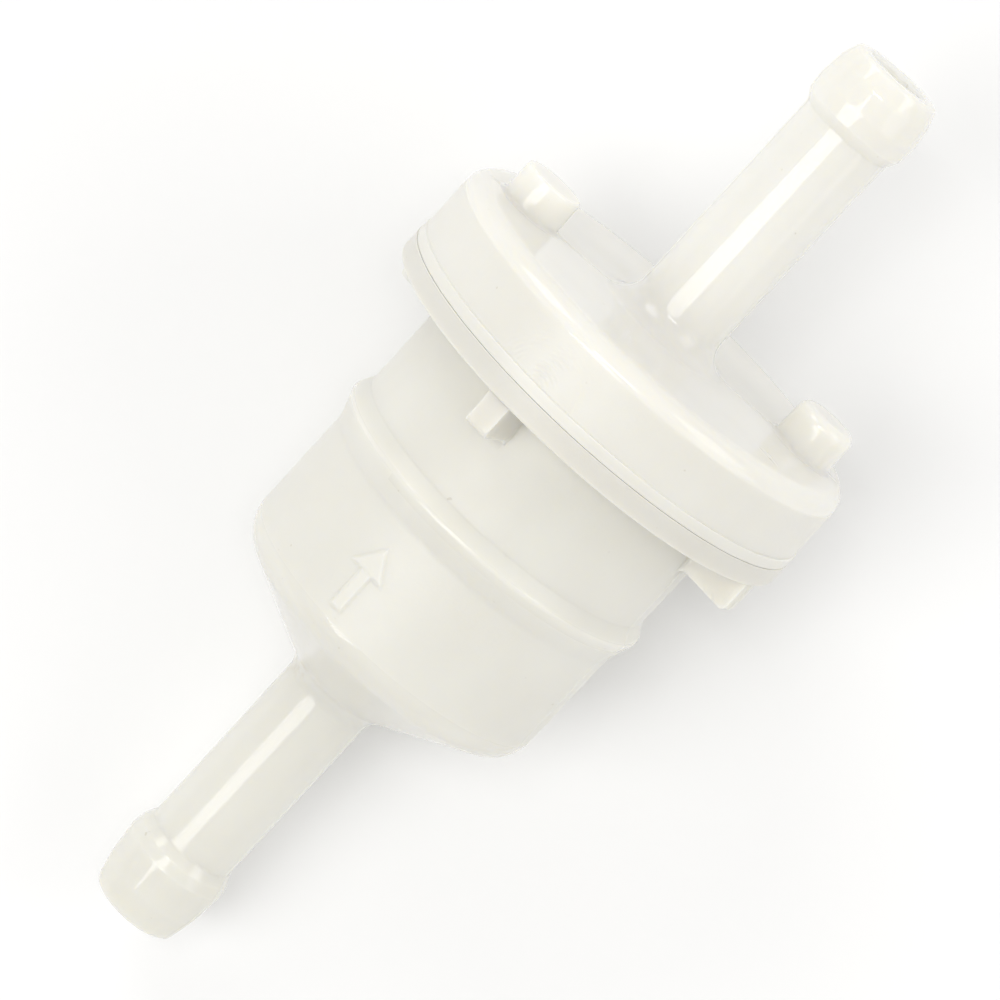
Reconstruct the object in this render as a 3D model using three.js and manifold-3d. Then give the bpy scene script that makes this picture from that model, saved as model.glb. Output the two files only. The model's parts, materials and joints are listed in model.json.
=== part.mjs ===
// Inline fuel filter with a welded nylon housing and a pleated paper element.
//
// The filter is drawn upright on its own axis: z runs along the flow, from the tip of
// the inlet spigot (z = 0) to the tip of the outlet spigot (z = 70.3). The last section
// lays the finished filter down on its flange rim and its cup shoulder, the way it rests
// on a table. All sizes are in millimetres.

import * as THREE from "three";
import { mergeVertices } from "three/addons/utils/BufferGeometryUtils.js";
import Module from "manifold-3d";

const wasm = await Module();
wasm.setup();

// ---- driving dimensions ----------------------------------------------------------

const overallLength = 70.3;
const gap = 0.3; // clearance kept between pieces that touch or are welded
const turn = 2 * Math.PI;

const boreRadius = 2.0;
const shaftRadius = 3.03;
const inletBarbRadius = 3.57;
const inletBarbZ = 4.3;

const wallRadius = 11.0;
const wallThickness = 1.5;
const cupShoulderZ = 24.95; // where the straight wall starts
const cupShoulderArc = 2.1; // radius of the rounded corner between the cone and the wall
const cupConeRadius = 8.9;
const cupConeZ = 22.7;
const spigotRootZ = 17.9;
const beadRadius = 11.6;
const beadZ = 34.25;

const flangeRadius = 15.0;
const flangeBottomZ = 42.74;
const weldZ = 44.16; // the plane where cup and lid are welded

const lidRadius = 14.85;
const lidTopZ = 49.6;
const lidEdgeRadius = 1.2;
const lidWall = 1.7;
const pegRadius = 2.05;
const pegCentreRadii = [11.0, 10.8];
const pegHeights = [2.65, 2.3];
const pegAngle = THREE.MathUtils.degToRad(96);
const outletFilletRadius = 1.7;
const outletBarbRadius = 3.55;
const outletBarbZ = 65.7; // where the outlet shaft steps up to its barb

const lugWidth = 1.8;
const lugReach = 14.7;
const lugHeight = 2.35;
const lugCount = 4;
const lugAngle = THREE.MathUtils.degToRad(-17);

const arrowAngle = lugAngle;
const arrowZ = 28.3;
const arrowLength = 4.6;
const arrowRise = 0.22;

const pleatCount = 22;
const pleatOuterRadius = 8.1;
const pleatInnerRadius = 4.5;
const paperThickness = 0.5;
const elementBottomZ = 26.6;
const elementTopZ = 42.2;
const endCapRadius = 8.7;
const endCapThickness = 1.2;
const pottingThickness = 0.7;
const coreRadius = 3.9;
const coreWall = 0.8;
const neckRadius = 3.0;
const neckTopZ = 46.4;
const socketInnerRadius = 4.0;
const socketOuterRadius = 5.2;
const socketBottomZ = 43.6;
const sealRadius = 0.65; // half the thickness of the O-ring cord

// ---- geometry helpers --------------------------------------------------------------

// A solid of revolution from [radius, z] points that start and end on the axis, or
// that close on themselves. The first flat face is centred on the local -x side.
function lathe(points, segments) {
  const profile = points.map(([r, z]) => new THREE.Vector2(r, z));
  const geometry = new THREE.LatheGeometry(profile, segments);
  geometry.rotateX(Math.PI / 2);
  geometry.rotateZ(Math.PI / segments);
  return geometry;
}

// The same outline, closed by repeating its first point.
function ring(points, segments) {
  return lathe([...points, points[0]], segments);
}

// Points of a circular arc in the (radius, z) plane; angles in degrees from +radius.
function arc(centreRadius, centreZ, radius, fromDegrees, toDegrees, steps) {
  const points = [];
  for (let i = 0; i <= steps; i += 1) {
    const angle = THREE.MathUtils.degToRad(fromDegrees + ((toDegrees - fromDegrees) * i) / steps);
    points.push([centreRadius + radius * Math.cos(angle), centreZ + radius * Math.sin(angle)]);
  }
  return points;
}

function toSolid(geometry) {
  const bare = geometry.clone();
  bare.deleteAttribute("normal");
  bare.deleteAttribute("uv");
  const merged = mergeVertices(bare, 1e-5);
  return new wasm.Manifold(
    new wasm.Mesh({
      numProp: 3,
      vertProperties: new Float32Array(merged.attributes.position.array),
      triVerts: new Uint32Array(merged.index.array),
    }),
  );
}

function toGeometry(solid) {
  const mesh = solid.getMesh();
  const geometry = new THREE.BufferGeometry();
  geometry.setAttribute("position", new THREE.BufferAttribute(mesh.vertProperties, 3));
  geometry.setIndex(new THREE.BufferAttribute(mesh.triVerts, 1));
  geometry.computeVertexNormals();
  return geometry;
}

function join(...geometries) {
  return toGeometry(geometries.map(toSolid).reduce((whole, piece) => whole.add(piece)));
}

function cut(geometry, ...tools) {
  return toGeometry(tools.map(toSolid).reduce((rest, tool) => rest.subtract(tool), toSolid(geometry)));
}

function piece(name, geometry, material) {
  const mesh = new THREE.Mesh(geometry, material);
  mesh.name = name;
  return mesh;
}

// ---- materials ---------------------------------------------------------------------

const nylon = () => new THREE.MeshStandardMaterial({ color: 0xece9dd, roughness: 0.35, metalness: 0 });
const paper = () => new THREE.MeshStandardMaterial({ color: 0xe9dfc2, roughness: 0.9, metalness: 0 });
const capPlastic = () => new THREE.MeshStandardMaterial({ color: 0xf1efe6, roughness: 0.5, metalness: 0 });
const adhesive = () => new THREE.MeshStandardMaterial({ color: 0xe2cf9a, roughness: 0.4, metalness: 0 });
const rubber = () => new THREE.MeshStandardMaterial({ color: 0x26262a, roughness: 0.7, metalness: 0 });
const steel = () => new THREE.MeshStandardMaterial({ color: 0xb9babd, roughness: 0.35, metalness: 1 });

// ---- housing -----------------------------------------------------------------------

// Inlet half: barbed spigot, coned floor, straight wall with a bead, and weld flange.
function inletCup() {
  const segments = 40;
  const innerRadius = wallRadius - wallThickness;
  const flangeTopZ = weldZ - gap / 2;
  const body = ring(
    [
      [boreRadius, 0],
      [2.65, 0],
      [2.96, 0.45],
      [3.29, 1.5],
      [3.48, 2.8],
      [inletBarbRadius, inletBarbZ],
      [3.4, 5.0],
      [shaftRadius, 5.7],
      [shaftRadius, spigotRootZ],
      [3.35, 19.1],
      [3.75, 19.75],
      [4.6, 20.27],
      [6.2, 21.17],
      [cupConeRadius, cupConeZ],
      ...arc(wallRadius - cupShoulderArc, cupShoulderZ, cupShoulderArc, -55, 0, 4),
      [wallRadius, beadZ - 1.6],
      [beadRadius - 0.2, beadZ - 0.6],
      [beadRadius, beadZ],
      [beadRadius - 0.2, beadZ + 0.5],
      [wallRadius, beadZ + 1.1],
      [wallRadius, flangeBottomZ],
      [flangeRadius - 0.12, flangeBottomZ],
      [flangeRadius, flangeBottomZ + 0.15],
      [flangeRadius, flangeTopZ],
      [innerRadius, flangeTopZ],
      [innerRadius, cupShoulderZ + 0.6],
      [innerRadius - 0.6, cupConeZ + 1.85],
      [cupConeRadius - 0.7, cupConeZ + 1.33],
      [3.4, 21.0],
      [boreRadius, 19.6],
    ],
    segments,
  );
  const lugs = [];
  for (let i = 0; i < lugCount; i += 1) {
    const lug = lugGeometry();
    lug.rotateZ(lugAngle + (i * turn) / lugCount);
    lugs.push(lug);
  }
  return join(body, ...lugs, flowArrow());
}

// One radial key under the flange, on the local +x side. It sinks into the wall and
// into the flange so that the join has no edge in common with either.
function lugGeometry() {
  const rootRadius = wallRadius - 0.5;
  const soleZ = flangeBottomZ - lugHeight;
  const corner = 0.4;
  const outline = new THREE.Shape();
  outline.moveTo(rootRadius, soleZ);
  outline.lineTo(lugReach - corner, soleZ);
  outline.absarc(lugReach - corner, soleZ + corner, corner, -Math.PI / 2, 0, false);
  outline.lineTo(lugReach, flangeBottomZ + 0.4);
  outline.lineTo(rootRadius, flangeBottomZ + 0.4);
  outline.closePath();
  const geometry = new THREE.ExtrudeGeometry(outline, {
    depth: lugWidth,
    bevelEnabled: false,
    curveSegments: 3,
  });
  geometry.rotateX(Math.PI / 2);
  geometry.translate(0, lugWidth / 2, 0);
  return geometry;
}

// Raised arrow on the cup wall that points along the flow, towards the outlet.
function flowArrow() {
  const half = arrowLength / 2;
  const shaftHalf = 0.45;
  const headHalf = 1.25;
  const headLength = 1.9;
  const outline = new THREE.Shape();
  outline.moveTo(-shaftHalf, -half);
  outline.lineTo(shaftHalf, -half);
  outline.lineTo(shaftHalf, half - headLength);
  outline.lineTo(headHalf, half - headLength);
  outline.lineTo(0, half);
  outline.lineTo(-headHalf, half - headLength);
  outline.lineTo(-shaftHalf, half - headLength);
  outline.closePath();
  const sunk = 0.6;
  const geometry = new THREE.ExtrudeGeometry(outline, { depth: sunk + arrowRise, bevelEnabled: false });
  // The outline's x goes around the cup, its y along the axis, and its depth outwards.
  geometry.applyMatrix4(
    new THREE.Matrix4().makeBasis(
      new THREE.Vector3(0, 1, 0),
      new THREE.Vector3(0, 0, 1),
      new THREE.Vector3(1, 0, 0),
    ),
  );
  geometry.translate(wallRadius - sunk, 0, arrowZ);
  geometry.rotateZ(arrowAngle);
  return geometry;
}

// Outlet half: round-edged lid with two drive pegs, a barbed spigot, and inside it the
// socket that takes the element's neck.
function outletLid() {
  const segments = 40;
  const skirtZ = weldZ + gap / 2;
  const ceilingZ = lidTopZ - lidWall;
  const cavityRadius = lidRadius - lidWall;
  const body = ring(
    [
      [boreRadius, overallLength],
      [boreRadius, ceilingZ + 0.4],
      [socketInnerRadius, ceilingZ],
      [socketInnerRadius, socketBottomZ],
      [socketOuterRadius, socketBottomZ],
      [socketOuterRadius, ceilingZ],
      [cavityRadius - 0.5, ceilingZ],
      [cavityRadius, ceilingZ - 0.5],
      [cavityRadius, skirtZ],
      [lidRadius, skirtZ],
      ...arc(lidRadius - lidEdgeRadius, lidTopZ - lidEdgeRadius, lidEdgeRadius, 0, 90, 3),
      ...arc(
        shaftRadius + outletFilletRadius,
        lidTopZ + outletFilletRadius,
        outletFilletRadius,
        270,
        180,
        3,
      ),
      [shaftRadius, outletBarbZ],
      [3.28, outletBarbZ + 0.4],
      [outletBarbRadius - 0.03, outletBarbZ + 0.9],
      [outletBarbRadius, outletBarbZ + 1.9],
      [3.36, outletBarbZ + 3.3],
      [3.0, overallLength - 0.25],
      [2.75, overallLength],
    ],
    segments,
  );
  const pegs = pegHeights.map((pegHeight, i) => {
    const sunk = 0.6;
    const tipRadius = 0.35;
    const peg = lathe(
      [
        [0, -sunk],
        [pegRadius, -sunk],
        [pegRadius, pegHeight - tipRadius],
        [pegRadius - 0.1, pegHeight - 0.1],
        [pegRadius - tipRadius, pegHeight],
        [0, pegHeight],
      ],
      20,
    );
    peg.translate(pegCentreRadii[i], 0, lidTopZ);
    peg.rotateZ(pegAngle + i * Math.PI);
    return peg;
  });
  return join(body, ...pegs);
}

// ---- filter element ----------------------------------------------------------------

// Pleated paper ring: a zigzag band of constant thickness, closed on itself.
function pleatedPaper() {
  const points = (offset) => {
    const list = [];
    for (let i = 0; i < pleatCount * 2; i += 1) {
      const angle = (i * turn) / (pleatCount * 2);
      const fold = i % 2 === 0 ? pleatOuterRadius : pleatInnerRadius;
      const radius = fold + offset;
      list.push(new THREE.Vector2(radius * Math.cos(angle), radius * Math.sin(angle)));
    }
    return list;
  };
  const outline = new THREE.Shape(points(paperThickness / 2));
  outline.holes.push(new THREE.Path(points(-paperThickness / 2).reverse()));
  const bottomZ = elementBottomZ + endCapThickness + pottingThickness + 2 * gap;
  const topZ = elementTopZ - endCapThickness - pottingThickness - 2 * gap;
  const geometry = new THREE.ExtrudeGeometry(outline, { depth: topZ - bottomZ, bevelEnabled: false });
  geometry.translate(0, 0, bottomZ);
  return geometry;
}

// Flat ring of hardened adhesive that seals one end of the pleats to its end cap.
function pottingRing(bottomZ) {
  const outer = pleatOuterRadius + 0.25;
  const inner = pleatInnerRadius - 0.25;
  return ring(
    [
      [inner, bottomZ],
      [outer, bottomZ],
      [outer, bottomZ + pottingThickness],
      [inner, bottomZ + pottingThickness],
    ],
    32,
  );
}

// Closed end cap: a shallow dish with a rim, and three feet that stand it off the floor.
function closedEndCap() {
  const topZ = elementBottomZ + endCapThickness;
  const dish = lathe(
    [
      [0, elementBottomZ],
      [endCapRadius - 0.3, elementBottomZ],
      [endCapRadius, elementBottomZ + 0.3],
      [endCapRadius, topZ + 0.8],
      [endCapRadius - 0.3, topZ + 0.8],
      [endCapRadius - 0.3, topZ],
      [0, topZ],
    ],
    32,
  );
  const footCount = 3;
  const feet = [];
  for (let i = 0; i < footCount; i += 1) {
    const foot = new THREE.CylinderGeometry(0.7, 0.7, 1.6, 10);
    foot.rotateX(Math.PI / 2);
    foot.translate(6.2, 0, elementBottomZ - 0.6);
    foot.rotateZ((i * turn) / footCount);
    feet.push(foot);
  }
  return join(dish, ...feet);
}

// Open end cap: a rimmed ring with the neck that plugs into the lid's socket. The neck
// has a groove for the O-ring.
function neckEndCap() {
  const bottomZ = elementTopZ - endCapThickness;
  const grooveRadius = neckRadius - 0.25;
  const grooveBottomZ = sealZ() - sealRadius - 0.1;
  const grooveTopZ = sealZ() + sealRadius + 0.1;
  return ring(
    [
      [boreRadius, bottomZ],
      [endCapRadius - 0.3, bottomZ],
      [endCapRadius - 0.3, bottomZ - 0.8],
      [endCapRadius, bottomZ - 0.8],
      [endCapRadius, elementTopZ - 0.3],
      [endCapRadius - 0.3, elementTopZ],
      [neckRadius + 0.4, elementTopZ],
      [neckRadius, elementTopZ + 0.4],
      [neckRadius, grooveBottomZ],
      [grooveRadius, grooveBottomZ],
      [grooveRadius, grooveTopZ],
      [neckRadius, grooveTopZ],
      [neckRadius, neckTopZ - 0.3],
      [neckRadius - 0.3, neckTopZ],
      [boreRadius, neckTopZ],
    ],
    32,
  );
}

function sealZ() {
  return (socketBottomZ + neckTopZ) / 2 + 0.2;
}

// O-ring between the neck and the socket, drawn at the size it has when squeezed.
function neckSeal() {
  const innerRadius = neckRadius - 0.25 + 0.1;
  const outerRadius = socketInnerRadius - 0.1;
  const centreRadius = (innerRadius + outerRadius) / 2;
  const geometry = new THREE.TorusGeometry(centreRadius, (outerRadius - innerRadius) / 2, 10, 32);
  geometry.translate(0, 0, sealZ());
  return geometry;
}

// Perforated tube that holds the pleats apart against the flow.
function supportCore() {
  const bottomZ = elementBottomZ + endCapThickness + gap;
  const topZ = elementTopZ - endCapThickness - gap;
  const tube = ring(
    [
      [coreRadius - coreWall, bottomZ],
      [coreRadius, bottomZ],
      [coreRadius, topZ],
      [coreRadius - coreWall, topZ],
    ],
    24,
  );
  const rowCount = 3;
  const windowsPerRow = 4;
  const windowWidth = 1.8;
  const windowHeight = 2.4;
  const windows = [];
  for (let row = 0; row < rowCount; row += 1) {
    const z = bottomZ + ((topZ - bottomZ) * (row + 0.5)) / rowCount;
    for (let i = 0; i < windowsPerRow / 2; i += 1) {
      const slot = new THREE.BoxGeometry(4 * coreRadius, windowWidth, windowHeight);
      slot.translate(0, 0, z);
      slot.rotateZ(((i + (row % 2) / 2) * turn) / windowsPerRow + 0.13);
      windows.push(slot);
    }
  }
  return cut(tube, ...windows);
}

// Folded strip that clips the two free ends of the paper together, in the space of one
// pleat on the side away from the arrow.
function pleatSeamClip() {
  const bottomZ = elementBottomZ + endCapThickness + pottingThickness + 2 * gap + 0.2;
  const topZ = elementTopZ - endCapThickness - pottingThickness - 2 * gap - 0.2;
  const mouthRadius = 6.9;
  const capRadius = 8.35;
  const halfWidth = 0.42;
  const strip = 0.2;
  const outline = new THREE.Shape();
  outline.moveTo(mouthRadius, -halfWidth);
  outline.lineTo(capRadius, -halfWidth);
  outline.lineTo(capRadius, halfWidth);
  outline.lineTo(mouthRadius, halfWidth);
  outline.lineTo(mouthRadius, halfWidth - strip);
  outline.lineTo(capRadius - strip, halfWidth - strip);
  outline.lineTo(capRadius - strip, strip - halfWidth);
  outline.lineTo(mouthRadius, strip - halfWidth);
  outline.closePath();
  const geometry = new THREE.ExtrudeGeometry(outline, { depth: topZ - bottomZ, bevelEnabled: false });
  geometry.translate(0, 0, bottomZ);
  geometry.rotateZ(Math.PI + Math.PI / pleatCount);
  return geometry;
}

// ---- assembly ----------------------------------------------------------------------

const filter = new THREE.Group();
filter.add(
  piece("inlet_cup", inletCup(), nylon()),
  piece("outlet_lid", outletLid(), nylon()),
  piece("filter_paper", pleatedPaper(), paper()),
  piece("closed_end_cap", closedEndCap(), capPlastic()),
  piece("neck_end_cap", neckEndCap(), capPlastic()),
  piece("lower_potting", pottingRing(elementBottomZ + endCapThickness + gap), adhesive()),
  piece("upper_potting", pottingRing(elementTopZ - endCapThickness - gap - pottingThickness), adhesive()),
  piece("support_core", supportCore(), capPlastic()),
  piece("pleat_seam_clip", pleatSeamClip(), steel()),
  piece("neck_o_ring", neckSeal(), rubber()),
);

// The filter lies on the flange rim and on the rounded shoulder of the cup, so its axis
// leans by the slope of the line from the rim that just touches the shoulder's arc.
const armRadius = flangeRadius - (wallRadius - cupShoulderArc);
const armLength = flangeBottomZ - cupShoulderZ;
const lean = Math.atan2(armRadius, armLength) - Math.asin(cupShoulderArc / Math.hypot(armRadius, armLength));
filter.rotation.set(0, Math.PI / 2 - lean, Math.PI);

const part = new THREE.Group();
part.add(filter);

// The part's origin is under the middle of its box, on the surface it lies on.
const box = new THREE.Box3().setFromObject(part, true);
const middle = box.getCenter(new THREE.Vector3());
filter.position.set(-middle.x, -middle.y, -box.min.z);

export default part;
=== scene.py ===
"""Looks for the inline fuel filter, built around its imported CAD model.

The two nylon halves are rebuilt as fine closed shells with their parting lines, lugs, pegs,
weld lip and flow arrow. The pieces inside the housing are rebuilt too, with folds, feet, a groove
and windows. Profiles are (radius, z) in millimetres, with z along the flow from the inlet tip, and
PLACE lays them where the CAD filter lies.
"""
import json
import math

import bmesh
import bpy
import numpy as np
from mathutils import Matrix, Vector


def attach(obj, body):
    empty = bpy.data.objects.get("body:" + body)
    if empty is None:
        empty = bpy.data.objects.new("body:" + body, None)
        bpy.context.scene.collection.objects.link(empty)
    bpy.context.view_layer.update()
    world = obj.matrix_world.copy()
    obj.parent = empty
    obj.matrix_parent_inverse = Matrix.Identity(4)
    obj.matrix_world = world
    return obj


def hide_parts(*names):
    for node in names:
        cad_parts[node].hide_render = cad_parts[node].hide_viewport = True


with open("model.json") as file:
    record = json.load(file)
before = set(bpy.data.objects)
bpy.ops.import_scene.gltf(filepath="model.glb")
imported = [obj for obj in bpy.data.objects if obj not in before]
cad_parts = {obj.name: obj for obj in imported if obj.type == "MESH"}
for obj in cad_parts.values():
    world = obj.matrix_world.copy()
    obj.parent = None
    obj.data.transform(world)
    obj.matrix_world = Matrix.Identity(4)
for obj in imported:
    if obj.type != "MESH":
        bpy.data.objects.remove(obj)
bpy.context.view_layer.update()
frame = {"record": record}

# ---- sizes, in millimetres and degrees -----------------------------------------------------------

MM = 0.001
BORE = 2.0
SHAFT = 3.03
LENGTH = 70.3
WALL = 11.0
CONE_Z = 19.35           # where the cup's coned floor would meet the spigot shaft
CONE_TOP_Z = 23.99       # where the cone would meet the straight wall
SLOPE = (CONE_TOP_Z - CONE_Z) / (WALL - SHAFT)
FLOOR = 1.76             # thickness of the coned floor, measured along the axis
INNER = 9.5
BEAD_Z, BEAD_RISE = 34.25, 0.62
BEAD_BEFORE, BEAD_AFTER = 1.75, 1.15    # how far the bead's foot reaches to each side of BEAD_Z
FLANGE, FLANGE_Z = 15.0, 42.74
WELD_Z = 44.16
WELD_CLEAR = 0.008       # each half stops this short of the middle of the weld
LID, LID_WALL = 14.85, 1.7
LIP_TOP_Z, LIP_RISE = 44.9, 0.1
TOP_Z = 49.6
CEILING_Z = TOP_Z - LID_WALL
SOCKET_IN, SOCKET_OUT, SOCKET_Z = 4.0, 5.2, 43.6
BARB_Z = 65.7
PEG = 2.05
PEGS = ((96.0, 11.0, 2.65, 0.6), (276.0, 10.8, 2.3, 0.18))   # degrees, circle, height, tip fillet
LUG_DEGREES = (-17.0, 73.0, 163.0, 253.0)
LUG_HALF, LUG_REACH, LUG_Z = 0.9, 14.7, 40.39
ARROW_DEGREES, ARROW_Z, ARROW_RISE = -17.0, 28.3, 0.12
CUP_PARTING_DEGREES = (73.0, 253.0)
LID_PARTING_DEGREES = (96.0, 276.0)
PIT_DEGREES, PIT_CIRCLE, PIT_RADIUS, PIT_DEPTH = 53.0, 11.8, 0.3, 0.07
RUB_DEGREES, RUB_Z, RUB_REACH, RUB_PITCH = -13.0, 44.6, 3.6, 0.3   # the curved rub marks

PLEATS = 22
PLEAT_OUT, PLEAT_IN = 8.1, 4.5
PLEAT_STEPS = 24         # points along the paper for each pleat
PAPER_HALF = 0.16
ELEMENT_LOW, ELEMENT_HIGH = 26.6, 42.2
CAP, CAP_THICK = 8.7, 1.2
CAP_RIM, CAP_WALL = 0.8, 0.3
POTTING = 0.7
CLEAR = 0.3              # space between neighbours inside the housing
CORE, CORE_WALL = 3.9, 0.8
NECK, NECK_TOP_Z = 3.0, 46.4
SEAL_Z = (SOCKET_Z + NECK_TOP_Z) / 2 + 0.2
GROOVE = NECK - 0.25

# ---- where the filter lies -----------------------------------------------------------------------


def placing():
    """The matrix from filter millimetres to the row frame, worked out from the inlet's mount."""
    inlet = next(m for m in frame["record"]["mounts"] if m["name"] == "inlet_end_face")
    flow = -Vector(inlet["axis"]).normalized()
    side = Vector((0, -1, 0))
    up = side.cross(flow)
    mount_radius = 2.35 * MM    # the mount lies on the tip's flat ring, this far above its middle
    tip = Vector(inlet["pos_m"]) - up * mount_radius
    turn = Matrix((up, side, flow)).transposed().to_4x4()
    return Matrix.Translation(tip) @ turn @ Matrix.Scale(MM, 4)


PLACE = placing()

# ---- profiles ------------------------------------------------------------------------------------


def rounded(corners, step, closed=True, arc_degrees=7.0):
    """Points along an outline of (radius, z, fillet) corners, each rounded by its fillet."""
    count = len(corners)
    points = []
    for i, (x, z, fillet) in enumerate(corners):
        here = np.array((x, z), float)
        if not closed and i in (0, count - 1):
            points.append(here)
            continue
        before = np.array(corners[i - 1][:2], float)
        after = np.array(corners[(i + 1) % count][:2], float)
        a = (before - here) / np.linalg.norm(before - here)
        b = (after - here) / np.linalg.norm(after - here)
        bend = math.pi - math.acos(np.clip(a @ b, -1, 1))
        if fillet < 1e-6 or bend < 1e-3:
            points.append(here)
            continue
        reach = fillet * math.tan(bend / 2)
        middle = here + (a + b) / np.linalg.norm(a + b) * fillet / math.cos(bend / 2)
        start = here + a * reach - middle
        end = here + b * reach - middle
        steps = max(3, math.ceil(math.degrees(bend) / arc_degrees))
        for k in range(steps + 1):
            t = k / steps
            weight_a = math.sin((1 - t) * bend) / math.sin(bend)
            weight_b = math.sin(t * bend) / math.sin(bend)
            points.append(middle + start * weight_a + end * weight_b)
    return spaced(points, step, closed)


def spaced(points, step, closed):
    """The same path with extra points, so that no stretch is longer than step(radius, z)."""
    out = []
    last = len(points) if closed else len(points) - 1
    for i in range(last):
        a, b = points[i], points[(i + 1) % len(points)]
        limit = step(*((a + b) / 2))
        pieces = max(1, math.ceil(np.linalg.norm(b - a) / limit))
        out.extend(a + (b - a) * k / pieces for k in range(pieces))
    if not closed:
        out.append(points[-1])
    return np.array(out)


def columns(fine_spots, coarse=2.0):
    """Azimuths in degrees around the circle, closer together within each (centre, half, step)."""
    marks = set(np.round(np.arange(0.0, 360.0, coarse), 4))
    for centre, half, step in fine_spots:
        marks = {m for m in marks if abs((m - centre + 180) % 360 - 180) > half}
        marks |= set(np.round(np.arange(centre - half, centre + half + 1e-6, step) % 360, 4))
    kept = []
    for mark in sorted(marks):
        if not kept or mark - kept[-1] > 0.02:
            kept.append(mark)
    return np.radians(np.array(kept))


def smoothstep(low, high, x):
    t = np.clip((x - low) / (high - low), 0, 1)
    return t * t * (3 - 2 * t)


def angle_from(azimuth, degrees):
    """Signed angle from a direction, between -pi and pi."""
    return (azimuth - math.radians(degrees) + math.pi) % (2 * math.pi) - math.pi


# ---- mesh making ---------------------------------------------------------------------------------


def wrapped_faces(rows, cols, close_rows, close_cols=True):
    """Quads of a grid that closes on itself around the axis, and along the profile if asked."""
    r = np.arange(rows if close_rows else rows - 1)
    c = np.arange(cols if close_cols else cols - 1)
    r0, c0 = np.meshgrid(r, c, indexing="ij")
    r1, c1 = (r0 + 1) % rows, (c0 + 1) % cols
    return np.stack([r0 * cols + c0, r0 * cols + c1, r1 * cols + c1, r1 * cols + c0], -1).reshape(-1, 4)


def to_object(name, points, faces, sharp_degrees=50.0):
    """A smooth mesh object, laid in the row frame, with its faces turned outwards."""
    mesh = bpy.data.meshes.new(name)
    mesh.from_pydata(points.reshape(-1, 3).tolist(), [], [list(map(int, f)) for f in faces])
    mesh.validate()
    obj = bpy.data.objects.new(name, mesh)
    bpy.context.scene.collection.objects.link(obj)
    mesh.transform(PLACE)
    turn_outwards(mesh)
    mesh.shade_smooth()
    mesh.set_sharp_from_angle(angle=math.radians(sharp_degrees))
    return obj


def turn_outwards(mesh):
    bm = bmesh.new()
    bm.from_mesh(mesh)
    bmesh.ops.recalc_face_normals(bm, faces=bm.faces)
    if bm.calc_volume(signed=True) < 0:
        bmesh.ops.reverse_faces(bm, faces=bm.faces)
    bm.to_mesh(mesh)
    bm.free()


def revolved(name, profile, azimuths, shape=None, sharp_degrees=50.0):
    """A closed ring swept around the axis. shape(radius, z, azimuth) may move its points."""
    radius = np.repeat(profile[:, 0:1], len(azimuths), axis=1)
    z = np.repeat(profile[:, 1:2], len(azimuths), axis=1)
    azimuth = np.repeat(azimuths[None, :], len(profile), axis=0)
    if shape:
        radius, z = shape(radius, z, azimuth)
    points = np.stack([radius * np.cos(azimuth), radius * np.sin(azimuth), z], -1)
    return to_object(name, points, wrapped_faces(*radius.shape, True), sharp_degrees)


def post(corners, degrees, circle, base_z, spacing=0.25, side_degrees=5.0):
    """A solid turned about its own line, parallel to the axis, from an outline that meets that line.

    Its points are at most spacing apart along the outline, and side_degrees apart around the line.
    """
    profile = rounded(corners, lambda radius, z: spacing, closed=False, arc_degrees=15.0)
    profile[0, 0] = profile[-1, 0] = 1e-4
    azimuths = np.radians(np.arange(0.0, 360.0, side_degrees))
    radius = np.repeat(profile[:, 0:1], len(azimuths), axis=1)
    z = np.repeat(profile[:, 1:2], len(azimuths), axis=1)
    centre = math.radians(degrees)
    x = radius * np.cos(azimuths) + circle * math.cos(centre)
    y = radius * np.sin(azimuths) + circle * math.sin(centre)
    points = np.stack([x, y, z + base_z], -1)
    rows, cols = radius.shape
    faces = wrapped_faces(rows, cols, False).tolist()
    faces.append(list(range(cols)))
    faces.append(list(range((rows - 1) * cols, rows * cols)))
    return to_object("post", points, faces)


def band(name, path, low_z, high_z, half, closed, rows=14, ripple=None):
    """A strip of constant thickness that stands on edge along a flat path of (x, y) points.

    ripple(index, z) may push it sideways, by the number of each path point and its height.
    """
    if closed:
        ahead, behind = np.roll(path, -1, axis=0), np.roll(path, 1, axis=0)
    else:
        ahead = np.vstack([path[1:], 2 * path[-1] - path[-2]])
        behind = np.vstack([2 * path[0] - path[1], path[:-1]])
    along = ahead - behind
    along /= np.linalg.norm(along, axis=1)[:, None]
    normal = np.stack([along[:, 1], -along[:, 0]], -1)
    heights = np.linspace(low_z, high_z, rows)
    rim = 0.3 * half
    section = [(-half + rim, low_z)] + [(-half, z) for z in heights[1:-1]] + [(-half + rim, high_z)]
    section += [(half - rim, high_z)] + [(half, z) for z in heights[-2:0:-1]] + [(half - rim, low_z)]
    points = np.empty((len(section), len(path), 3))
    for i, (offset, z) in enumerate(section):
        sway = ripple(np.arange(len(path)), z) if ripple else 0.0
        points[i, :, :2] = path + normal * np.reshape(offset + sway, (-1, 1))
        points[i, :, 2] = z
    faces = wrapped_faces(len(section), len(path), True, closed).tolist()
    if not closed:
        starts = [i * len(path) for i in range(len(section))]
        faces += [starts, [s + len(path) - 1 for s in starts]]
    return to_object(name, points, faces)


def boolean(obj, tool, operation):
    """Joins tool to obj, or cuts it away, and removes the tool."""
    modifier = obj.modifiers.new("shape", "BOOLEAN")
    modifier.object = tool
    modifier.operation = operation
    modifier.solver = "EXACT"
    bpy.context.view_layer.objects.active = obj
    with bpy.context.temp_override(object=obj, active_object=obj, selected_objects=[obj]):
        bpy.ops.object.modifier_apply(modifier=modifier.name)
    bpy.data.objects.remove(tool)


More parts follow.
